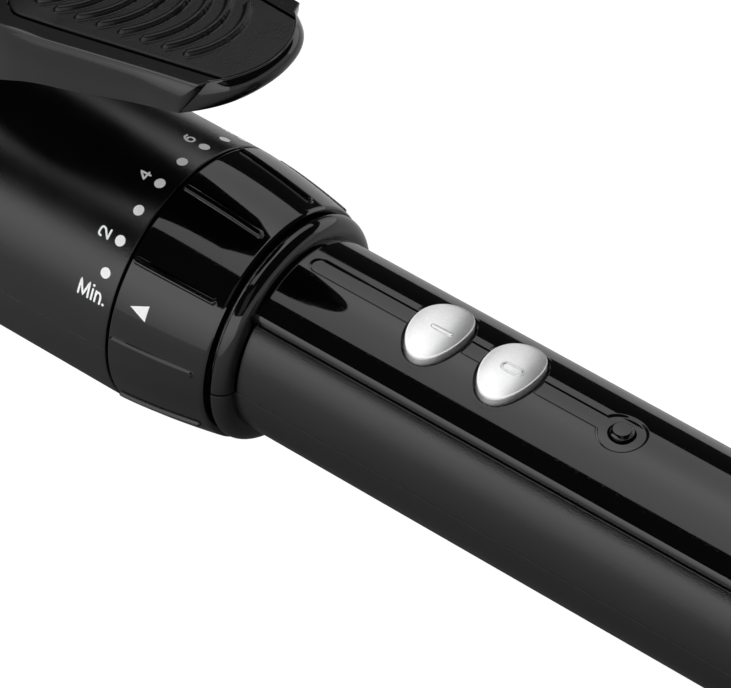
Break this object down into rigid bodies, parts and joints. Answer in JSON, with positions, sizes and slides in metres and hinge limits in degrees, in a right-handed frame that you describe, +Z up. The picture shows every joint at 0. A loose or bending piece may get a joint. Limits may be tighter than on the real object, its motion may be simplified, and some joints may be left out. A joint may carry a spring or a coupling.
{
  "type": "curling tong",
  "caption": "Hand-held curling tong with a heated barrel, sprung clamp with ribbed thumb lever, ribbed temperature dial, slim handle with silver on and off buttons, lamp and fold-out rest.",
  "frame": {"origin": "on the plane that the tong stands on, under the middle of its bounding box", "axes": "+X from the barrel's tip to the cord gland, +Z up, the side with the thumb lever and the buttons; -Y is the side with the low end of the temperature scale"},
  "size_m": [0.354, 0.0446, 0.0831],
  "materials": {
    "satin_black": "fine-grained satin black moulding",
    "gloss_black": "polished black moulding",
    "pearl_silver": "pearl silver lacquer, satin",
    "lamp_black": "smoked lens, polished",
    "coated_barrel": "dark ceramic coating, satin",
    "steel": "bright",
    "aluminium": "extruded",
    "brass": "bright",
    "ceramic": "fired, matt",
    "white_nylon": "natural moulding",
    "board_green": "solder mask",
    "red_sleeve": "woven sleeve"
  },
  "bodies": {
    "root": {"barrel_tube": "coated_barrel", "cool_tip": "satin_black", "heat_spreader_upper": "aluminium", "heat_spreader_lower": "aluminium", "ptc_heater": "ceramic", "temperature_sensor": "red_sleeve", "thermal_fuse": "aluminium", "heater_lead_left": "red_sleeve", "heater_lead_right": "white_nylon", "insulator_ring": "ceramic", "neck_sleeve": "satin_black", "neck_screw": "steel", "chassis": "white_nylon", "potentiometer": "steel", "detent_spring": "steel", "handle_shell_lower": "satin_black", "handle_shell_upper": "satin_black", "handle_top_cover": "gloss_black", "handle_screw_front": "steel", "handle_screw_rear": "steel", "circuit_board": "board_green", "switch_on": "steel", "switch_off": "steel", "lamp_lens": "lamp_black", "indicator_led": "ceramic", "contact_brush_live": "brass", "contact_brush_neutral": "brass", "hinge_bracket": "steel", "hinge_pin": "steel", "clamp_spring": "steel", "stand_pin": "steel"},
    "clamp": {"clamp_jaw": "coated_barrel", "thumb_lever": "gloss_black", "lever_grip": "satin_black", "jaw_rivet_front": "steel", "jaw_rivet_rear": "steel"},
    "dial": {"temperature_dial": "gloss_black", "dial_ring_gear": "white_nylon"},
    "pinion": {"dial_pinion": "white_nylon"},
    "on_button": {"button_on": "pearl_silver"},
    "off_button": {"button_off": "pearl_silver"},
    "gland": {"swivel_gland": "satin_black", "slip_ring_live": "brass", "slip_ring_neutral": "brass"},
    "stand": {"rest_stand": "steel"}
  },
  "joints": [
    {"name": "clamp_hinge", "type": "hinge", "parent": "root", "child": "clamp", "pos_m": [-0.03983, 0, 0.06207], "axis": [0, 1, 0], "range_deg": [0, 16.5], "stiffness_Nm_per_rad": 0.8, "springref_deg": -28.65},
    {"name": "dial_turn", "type": "hinge", "parent": "root", "child": "dial", "pos_m": [0.0192, 0, 0.03147], "axis": [-0.9941, 0, 0.1087], "range_deg": [0, 120.7]},
    {"name": "pinion_spin", "type": "hinge", "parent": "root", "child": "pinion", "pos_m": [0.02594, 0, 0.03798], "axis": [-0.9941, 0, 0.1087], "range_deg": [0, 241.5]},
    {"name": "on_press", "type": "slide", "parent": "root", "child": "on_button", "axis": [-0.1087, 0, -0.9941], "range_m": [0, 0.0009], "stiffness_N_per_m": 1500},
    {"name": "off_press", "type": "slide", "parent": "root", "child": "off_button", "axis": [-0.1087, 0, -0.9941], "range_m": [0, 0.0009], "stiffness_N_per_m": 1500},
    {"name": "gland_swivel", "type": "hinge", "parent": "root", "child": "gland", "pos_m": [0.0192, 0, 0.03147], "axis": [0.9941, 0, -0.1087], "continuous": true},
    {"name": "stand_fold", "type": "hinge", "parent": "root", "child": "stand", "pos_m": [-0.03318, 0, 0.01245], "axis": [0, -1, 0], "range_deg": [0, 112]}
  ],
  "couplings": [
    {"joint": "pinion_spin", "follows": "dial_turn", "ratio": 2}
  ]
}
